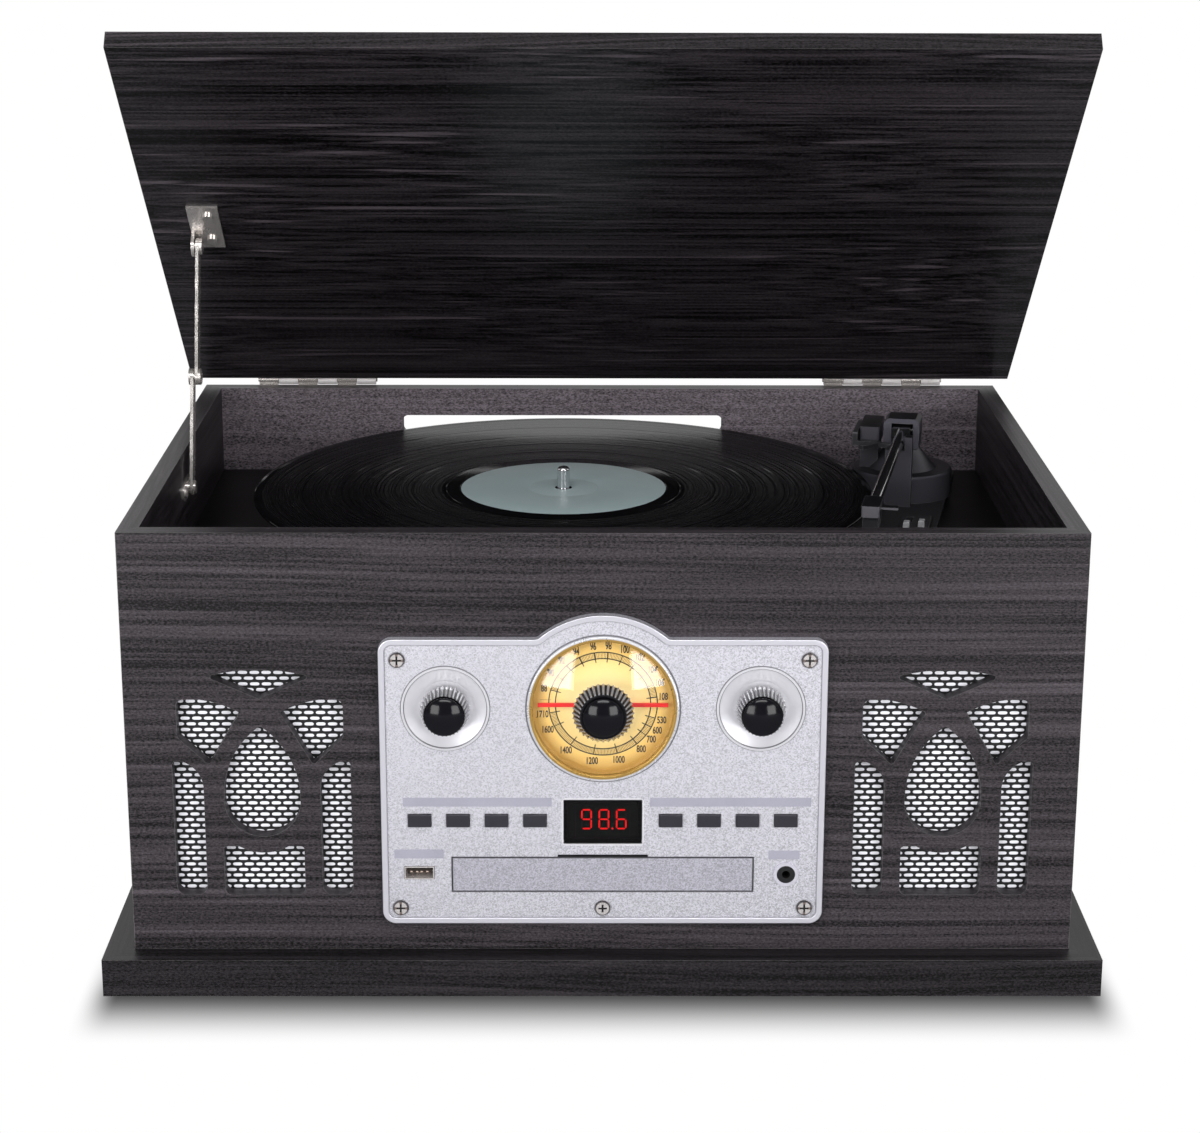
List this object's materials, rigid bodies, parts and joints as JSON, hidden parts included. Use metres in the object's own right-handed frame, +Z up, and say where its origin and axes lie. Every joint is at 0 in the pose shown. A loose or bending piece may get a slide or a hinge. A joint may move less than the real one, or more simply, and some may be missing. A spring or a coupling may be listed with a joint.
{
  "type": "music center",
  "caption": "Black woodgrain nostalgic music center: turntable under an open lid, silver panel with round radio dial, knobs, keys, display, disc tray and fretwork speaker grilles.",
  "frame": {"origin": "centre of the plan box at the underside of the feet", "axes": "+X to the right seen from the front, +Y to the back, +Z up"},
  "size_m": [0.446, 0.33, 0.4185],
  "materials": {
    "cabinet_wood": "satin black woodgrain foil",
    "inner_board": "matt black fibreboard",
    "foot_rubber": "matt",
    "hinge_steel": "dull nickel plate",
    "screw_steel": "zinc plate",
    "panel_silver": "silver paint with fine sparkle",
    "trim_chrome": "bright",
    "clear_lens": "clear moulded dome",
    "dial_gold": "printed golden dial",
    "pointer_red": "red",
    "knob_black": "gloss black",
    "key_plastic": "dark blue grey",
    "window_black": "smoked",
    "board_green": "circuit board",
    "control_grey": "plain",
    "black_plastic": "satin",
    "arm_plastic": "satin",
    "platter_aluminium": "cast",
    "mat_rubber": "matt",
    "record_vinyl": "grooved vinyl",
    "belt_rubber": "matt",
    "pulley_brass": "turned",
    "spindle_nickel": "polished nickel",
    "speaker_black": "black",
    "grille_cloth": "black and white weave",
    "case_plastic": "matt"
  },
  "bodies": {
    "cabinet": {"arm_base": "arm_plastic", "aux_socket": "black_plastic", "back_board": "cabinet_wood", "bottom_board": "inner_board", "chassis_plate": "black_plastic", "control_board": "board_green", "deck_board": "inner_board", "dial_bezel": "trim_chrome", "dial_lens": "clear_lens", "dial_plate": "dial_gold", "display_window": "window_black", "drive_belt": "belt_rubber", "drive_case": "case_plastic", "feet": "foot_rubber", "front_board": "cabinet_wood", "front_panel": "panel_silver", "hinge_cabinet_leaves": "hinge_steel", "main_board": "board_green", "platter_motor": "control_grey", "plinth_rails": "cabinet_wood", "rear_jack_plate": "black_plastic", "rotary_controls": "control_grey", "screws": "screw_steel", "side_boards": "cabinet_wood", "speaker_cloths": "grille_cloth", "speakers": "speaker_black", "spindle": "spindle_nickel", "stay_wall_bracket": "hinge_steel", "usb_socket": "trim_chrome"},
    "lid": {"lid_board": "cabinet_wood", "hinge_lid_leaves": "hinge_steel", "stay_lid_bracket": "hinge_steel"},
    "lower_link": {"stay_lower_link": "hinge_steel"},
    "upper_link": {"stay_upper_link": "hinge_steel"},
    "platter": {"platter": "platter_aluminium", "platter_mat": "mat_rubber", "record": "record_vinyl"},
    "pulley": {"motor_pulley": "pulley_brass"},
    "gimbal": {"gimbal_block": "arm_plastic"},
    "arm": {"arm_tube": "arm_plastic", "headshell": "arm_plastic", "cartridge": "arm_plastic"},
    "cue_lever": {"cue_lever": "arm_plastic"},
    "tray": {"cd_tray": "black_plastic", "tray_door": "panel_silver"},
    "disc_hub": {"disc_hub": "black_plastic"},
    "tuning": {"tuning_knob": "knob_black", "dial_pointer": "pointer_red"},
    "volume": {"volume_knob": "knob_black"},
    "function": {"function_knob": "knob_black"},
    "speed_selector": {"speed_selector": "black_plastic"},
    "stop_switch": {"stop_switch": "black_plastic"},
    "key_1": {"key_1": "key_plastic"},
    "key_2": {"key_2": "key_plastic"},
    "key_3": {"key_3": "key_plastic"},
    "key_4": {"key_4": "key_plastic"},
    "key_5": {"key_5": "key_plastic"},
    "key_6": {"key_6": "key_plastic"},
    "key_7": {"key_7": "key_plastic"},
    "key_8": {"key_8": "key_plastic"}
  },
  "joints": [
    {"name": "lid_hinge", "type": "hinge", "parent": "cabinet", "child": "lid", "pos_m": [0, 0.15127, 0.216], "axis": [1, 0, 0], "range_deg": [0, 41.3]},
    {"name": "stay_lower", "type": "hinge", "parent": "cabinet", "child": "lower_link", "pos_m": [-0.1985, 0.00077, 0.1955], "axis": [1, 0, 0], "range_deg": [0, 129.4]},
    {"name": "stay_upper", "type": "hinge", "parent": "lid", "child": "upper_link", "pos_m": [-0.1964, 0.03657, 0.30665], "axis": [1, 0, 0], "range_deg": [-82.51, 0]},
    {"name": "platter_spin", "type": "hinge", "parent": "cabinet", "child": "platter", "pos_m": [-0.0185, 0.01452, 0.1892], "axis": [0, 0, 1], "continuous": true},
    {"name": "pulley_spin", "type": "hinge", "parent": "cabinet", "child": "pulley", "pos_m": [-0.09384, -0.00566, 0.1775], "axis": [0, 0, 1], "continuous": true},
    {"name": "tonearm_swing", "type": "hinge", "parent": "cabinet", "child": "gimbal", "pos_m": [0.155, 0.08328, 0.1963], "axis": [0, 0, -1], "range_deg": [0, 38.8]},
    {"name": "tonearm_lift", "type": "hinge", "parent": "gimbal", "child": "arm", "pos_m": [0.155, 0.08328, 0.2045], "axis": [-0.9799, 0.1994, 0], "range_deg": [0, 2.1]},
    {"name": "cue_lever", "type": "hinge", "parent": "cabinet", "child": "cue_lever", "pos_m": [0.13313, 0.08364, 0.202], "axis": [-0.9799, 0.1994, 0], "range_deg": [0, 2.73]},
    {"name": "cd_tray", "type": "slide", "parent": "cabinet", "child": "tray", "axis": [0, -1, 0], "range_m": [0, 0.13]},
    {"name": "disc_hub", "type": "hinge", "parent": "cabinet", "child": "disc_hub", "pos_m": [0, -0.08073, 0.0546], "axis": [0, 0, 1], "continuous": true},
    {"name": "tuning", "type": "hinge", "parent": "cabinet", "child": "tuning", "pos_m": [0, -0.15463, 0.1346], "axis": [0, 1, 0], "range_deg": [0, 180]},
    {"name": "volume", "type": "hinge", "parent": "cabinet", "child": "volume", "pos_m": [-0.069, -0.15032, 0.1347], "axis": [0, 1, 0], "range_deg": [0, 300]},
    {"name": "function", "type": "hinge", "parent": "cabinet", "child": "function", "pos_m": [0.069, -0.15032, 0.1347], "axis": [0, 1, 0], "range_deg": [0, 120]},
    {"name": "key_1", "type": "slide", "parent": "cabinet", "child": "key_1", "axis": [0, 1, 0], "range_m": [0, 0.0008], "stiffness_N_per_m": 300},
    {"name": "key_2", "type": "slide", "parent": "cabinet", "child": "key_2", "axis": [0, 1, 0], "range_m": [0, 0.0008], "stiffness_N_per_m": 300},
    {"name": "key_3", "type": "slide", "parent": "cabinet", "child": "key_3", "axis": [0, 1, 0], "range_m": [0, 0.0008], "stiffness_N_per_m": 300},
    {"name": "key_4", "type": "slide", "parent": "cabinet", "child": "key_4", "axis": [0, 1, 0], "range_m": [0, 0.0008], "stiffness_N_per_m": 300},
    {"name": "key_5", "type": "slide", "parent": "cabinet", "child": "key_5", "axis": [0, 1, 0], "range_m": [0, 0.0008], "stiffness_N_per_m": 300},
    {"name": "key_6", "type": "slide", "parent": "cabinet", "child": "key_6", "axis": [0, 1, 0], "range_m": [0, 0.0008], "stiffness_N_per_m": 300},
    {"name": "key_7", "type": "slide", "parent": "cabinet", "child": "key_7", "axis": [0, 1, 0], "range_m": [0, 0.0008], "stiffness_N_per_m": 300},
    {"name": "key_8", "type": "slide", "parent": "cabinet", "child": "key_8", "axis": [0, 1, 0], "range_m": [0, 0.0008], "stiffness_N_per_m": 300},
    {"name": "speed_selector", "type": "slide", "parent": "cabinet", "child": "speed_selector", "axis": [0.1994, 0.9799, 0], "range_m": [0, 0.016]},
    {"name": "stop_switch", "type": "slide", "parent": "cabinet", "child": "stop_switch", "axis": [0.1994, 0.9799, 0], "range_m": [0, 0.008]}
  ],
  "couplings": [
    {"joint": "stay_lower", "follows": "lid_hinge", "ratio": 3.133},
    {"joint": "stay_upper", "follows": "lid_hinge", "ratio": -1.9975},
    {"joint": "pulley_spin", "follows": "platter_spin", "ratio": 13.333},
    {"joint": "cue_lever", "follows": "tonearm_lift", "ratio": 1.2963}
  ]
}
